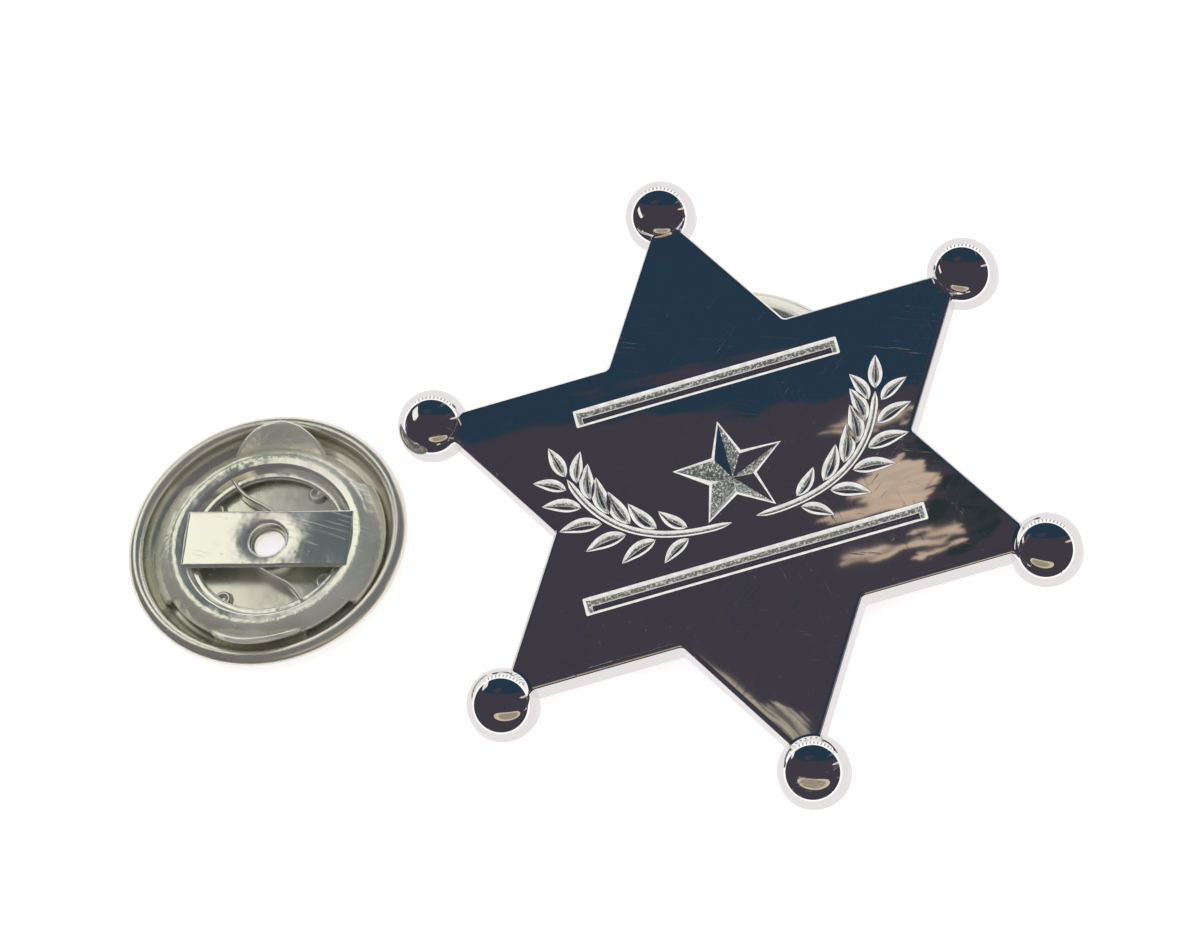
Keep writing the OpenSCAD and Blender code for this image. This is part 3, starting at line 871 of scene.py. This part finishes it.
floorLook = {
    "color": (0.96, 0.955, 0.965), "glow": 0.42, "half": 2.5, "curveFrom": 1.6, "curveRise": 0.8,
    "drop": 0.00002, "steps": 25,
}
roomLook = {
    # The dark room's middle beside the camera, how far round it reaches in degrees and how soft its border is
    "toRight": -0.14, "toUp": -0.07, "darkReach": 95.0, "soft": 1.0,
    "teal": (0.020, 0.044, 0.072), "plum": (0.056, 0.049, 0.066), "dark": (0.022, 0.036, 0.036),
    "white": (0.93, 0.875, 0.89), "brightest": (1.25, 1.2, 1.2), "dashShade": (0.42, 0.40, 0.42),
    # In degrees from the room's middle: where dashes start and end, and where the bright band fades to white
    "dashes": ((99.0, 101.0), (110.0, 113.0)), "fade": (101.0, 106.0), "dashCount": 46.0, "dashSpread": 1.15,
    "splitAt": 49.0, "splitSlope": 0.12, "splitWave": 45.0, "splitSoft": 3.0, "splitHigh": 0.55,
    "splitGrain": (70, 16, 14), "faceReach": 0.97,
    "warm": (0.62, 0.47, 0.36), "fan": (0.46, 0.40, 0.32),
    # Blotches of one color share a grain, given by its longest and shortest size and its turn in degrees.
    # Each blotch: its middle, its half sizes, its turn, how frayed its edge is, how open its grain
    "blotches": [
        ("plum", (60, 5, 13), [(100, 103, 130, 5, 13, 2.2, 0.6)]),
        ("dark", (26, 12, 20), [(368, -38, 34, 42, -20, 1.0, 0.5), (330, 20, 30, 14, 14, 1.4, 0.5)]),
        ("warm", (34, 6, 14), [
            (296, -14, 42, 27, 8, 1.3, 0.15), (252, -44, 32, 8, 14, 1.4, 0.3),
            (272, -80, 36, 7, 12, 1.6, 0.5), (336, -66, 28, 14, 20, 2.2, 1.0),
            (278, 52, 44, 8, 14, 2.4, 0.8)]),
        ("fan", (46, 3.2, -42), [(136, -217, 56, 6, -40, 0.9, 0.35), (190, -250, 30, 12, -36, 1.8, 0.8)]),
    ],
    "spot": (0.93, 0.34, 0.06, 0.035, -20, 0.6, 0.0), "spotColor": (0.75, 0.62, 0.58),
}
cards = [
    {"name": "paleCard", "middle": (-19.5, 17, 18), "half": (5, 8), "across": (1, 0, 0), "upwards": (0, 1, 0),
     "color": (0.80, 0.78, 0.70), "rim": 0.9, "rimGain": 1.0, "strength": 1.2, "square": 6},
    {"name": "tanCard", "middle": (1, -29, 8), "half": (20, 6), "across": (0.95, -0.2, -0.2),
     "upwards": (0.2, 0, 0.98), "color": (0.34, 0.28, 0.21), "rim": 0.66, "rimGain": 1.9, "strength": 1.0,
     "square": 2.6},
]


def makeFloor(look):
    # A broad sheet that curves up far behind the object
    steps = np.linspace(-1, 1, look["steps"]) * look["half"]
    x, y = np.meshgrid(steps, steps)
    z = np.where(y > look["curveFrom"], (y - look["curveFrom"]) ** 2 * look["curveRise"], 0) - look["drop"]
    quads = gridFaces(np.arange(x.size).reshape(x.shape)).reshape(-1, 4)
    mesh = newMesh("studioFloor", np.stack([x, y, z], -1).reshape(-1, 3), quads.tolist())
    material, tree, shader = newMaterial("paleFloor")
    feed(tree, shader, {"Base Color": look["color"], "Roughness": 1.0, "Specular IOR Level": 0.0,
                        "Emission Color": (1, 1, 1), "Emission Strength": look["glow"]})
    mesh.materials.append(material)
    floor = addObject("studioFloor", mesh)
    floor.visible_glossy = False


def blotchMask(tree, across, upwards, grain, blotch):
    # An ellipse about a middle, turned by an angle, whose edge is frayed by the grain
    middleX, middleY, halfX, halfY, turn, fray, gaps = blotch
    c, n = np.cos(np.radians(turn)), np.sin(np.radians(turn))

    def share(forX, forY, half):
        # The distance from the middle along one of the ellipse's axes, as a share of its half size
        base = mathNode(tree, "MULTIPLY_ADD", upwards, forY / half, -(middleX * forX + middleY * forY) / half)
        along = mathNode(tree, "MULTIPLY_ADD", across, forX / half, base)
        return times(tree, along, along)

    off = mathNode(tree, "SQRT", mathNode(tree, "ADD", share(c, n, halfX), share(-n, c, halfY)))
    frayed = mathNode(tree, "MULTIPLY_ADD", grain, fray, off)
    inside = rampNode(tree, frayed, 0.94 + fray / 2, 1.06 + fray / 2, 1.0, 0.0)
    return times(tree, inside, rampNode(tree, grain, 0.43, 0.57, 1.0, 1.0 - gaps))


def grainOf(tree, flat, longest, shortest, turn):
    # Noise drawn out along one direction of the picture
    turned = spinNode(tree, flat, -np.radians(turn))
    drawn = vectorNode(tree, "MULTIPLY", turned, (1 / longest, 1 / shortest, 1))
    return noiseNode(tree, drawn, 1.0, 3.0)


def facePart(tree, way, look):
    # The star's face shows a small part of the room. That part is drawn in units of a 1200th of the picture's
    # width, across and upwards from its middle, by axes that are the camera's own mirrored in the face.
    lean = np.radians(starSize["lean"])
    normal = Vector((0, -np.sin(lean), np.cos(lean)))
    across, upwards, depth = (dotNode(tree, way, axis - normal * 2 * axis.dot(normal))
                              for axis in (imageRight, imageUp, lookAlong))
    scale = cameraView["pictureWidth"] * cameraView["lens"] / cameraView["sensor"]
    across, upwards = (mathNode(tree, "DIVIDE", times(tree, value, scale), depth)
                       for value in (across, upwards))
    near = mathNode(tree, "GREATER_THAN", depth, look["faceReach"])
    flat = addNode(tree, "ShaderNodeCombineXYZ", {0: across, 1: upwards}).outputs[0]
    # Teal above and plum below, with a wavy border that rises to the right, and a plum streak above it
    wave = mathNode(tree, "SUBTRACT", grainOf(tree, flat, *look["splitGrain"]), 0.5)
    line = mathNode(tree, "MULTIPLY_ADD", across, look["splitSlope"], look["splitAt"])
    over = mathNode(tree, "MULTIPLY_ADD", wave, look["splitWave"], mathNode(tree, "SUBTRACT", upwards, line))
    split = times(tree, rampNode(tree, over, -look["splitSoft"], look["splitSoft"]), near)
    high = rampNode(tree, dotNode(tree, way, imageUp), look["splitHigh"] - 0.02, look["splitHigh"] + 0.02)
    split = mathNode(tree, "MAXIMUM", split, times(tree, high, mathNode(tree, "SUBTRACT", 1.0, near)))
    room = mixColor(tree, split, look["plum"], look["teal"])
    for color, grain, blotches in look["blotches"]:
        noise = grainOf(tree, flat, *grain)
        for blotch in blotches:
            mask = times(tree, blotchMask(tree, across, upwards, noise, blotch), near)
            room = mixColor(tree, mask, room, look[color])
    return room


def makeWorld(look):
    # Metal reflects a dark room round the camera and a white one beyond it; all else is lit white
    world = bpy.data.worlds.new("studioRoom")
    bpy.context.scene.world = world
    world.use_nodes = True
    tree = world.node_tree
    tree.nodes.clear()
    way = tree.nodes.new("ShaderNodeTexCoord").outputs["Generated"]
    room = facePart(tree, way, look)
    # Round the camera's direction: a small pale thing in the dark, then a bright line, dashes and the white
    axis = (-lookAlong + imageRight * look["toRight"] + imageUp * look["toUp"]).normalized()
    side = squareTo(axis, imageRight)
    facing, right, up = (dotNode(tree, way, toward) for toward in (axis, side, axis.cross(side)))
    spot = blotchMask(tree, right, up, noiseNode(tree, way, 22.0, 2.0), look["spot"])
    spot = times(tree, spot, mathNode(tree, "GREATER_THAN", facing, -0.15))
    room = mixColor(tree, spot, room, look["spotColor"])
    angle = times(tree, mathNode(tree, "ARCCOSINE", facing), 180 / np.pi)
    dash = mathNode(tree, "SINE", times(tree, mathNode(tree, "ARCTAN2", right, up), look["dashCount"]))
    starts, ends = look["dashes"]
    band = times(tree, rampNode(tree, angle, *starts), rampNode(tree, angle, *ends, 1.0, 0.0))
    aside = mathNode(tree, "ABSOLUTE", times(tree, right, look["dashSpread"]))
    band = times(tree, band, mathNode(tree, "GREATER_THAN", up, aside))
    beyond = mixColor(tree, rampNode(tree, angle, *look["fade"]), look["brightest"], look["white"])
    beyond = mixColor(tree, times(tree, band, rampNode(tree, dash, -0.3, 0.1)), beyond, look["brightest"])
    dark = times(tree, band, rampNode(tree, dash, -0.5, -0.3, 1.0, 0.0))
    beyond = mixColor(tree, dark, beyond, look["dashShade"])
    bright = rampNode(tree, angle, look["darkReach"] - look["soft"], look["darkReach"] + look["soft"])
    seen, plain = (addNode(tree, "ShaderNodeBackground", {"Color": color, "Strength": 1.0}).outputs[0]
                   for color in (mixColor(tree, bright, room, beyond), (1, 1, 1)))
    glossy = tree.nodes.new("ShaderNodeLightPath").outputs["Is Glossy Ray"]
    pick = addNode(tree, "ShaderNodeMixShader", {0: glossy, 1: plain, 2: seen}).outputs[0]
    feed(tree, tree.nodes.new("ShaderNodeOutputWorld"), {"Surface": pick})


def makeCard(look):
    # A reflector that only the polished metal sees: an oval or a soft-cornered sheet, paler towards its rim.
    # Its outline is where the sum of the cosine and the sine, each to the power "square", would be one.
    angle = np.linspace(0, 2 * np.pi, 72, endpoint=False)
    square, unit = look["square"], unitAt(angle)
    reach = (np.abs(unit) ** square).sum(-1, keepdims=True) ** (-1 / square)
    share = np.linspace(0.02, 1, 9)[:, None, None]
    plane = share * reach * unit * look["half"]
    points = plane @ np.array([look["across"], look["upwards"]]) + np.array(look["middle"])
    faces = ringFaces(points).tolist() + [list(range(len(angle)))]
    mesh = newMesh(look["name"], points.reshape(-1, 3) * mm, faces, flat=True)
    level = mesh.attributes.new("rimShare", "FLOAT", "POINT")
    level.data.foreach_set("value", np.repeat(share, len(angle)).astype(np.float32))
    material, tree, shader = newMaterial(look["name"])
    place = addNode(tree, "ShaderNodeAttribute", attribute_name="rimShare").outputs["Fac"]
    least = look["strength"]
    glow = rampNode(tree, place, look["rim"], look["rim"] + 0.08, least, least * look["rimGain"])
    feed(tree, shader, {"Base Color": (0, 0, 0), "Emission Color": look["color"], "Emission Strength": glow})
    mesh.materials.append(material)
    card = addObject(look["name"], mesh)
    card.visible_camera = card.visible_diffuse = card.visible_shadow = False


for card in cards:
    makeCard(card)
makeFloor(floorLook)
makeWorld(roomLook)
settings = bpy.context.scene.view_settings
settings.view_transform = "Standard"
settings.look = "None"
print("studio ready")
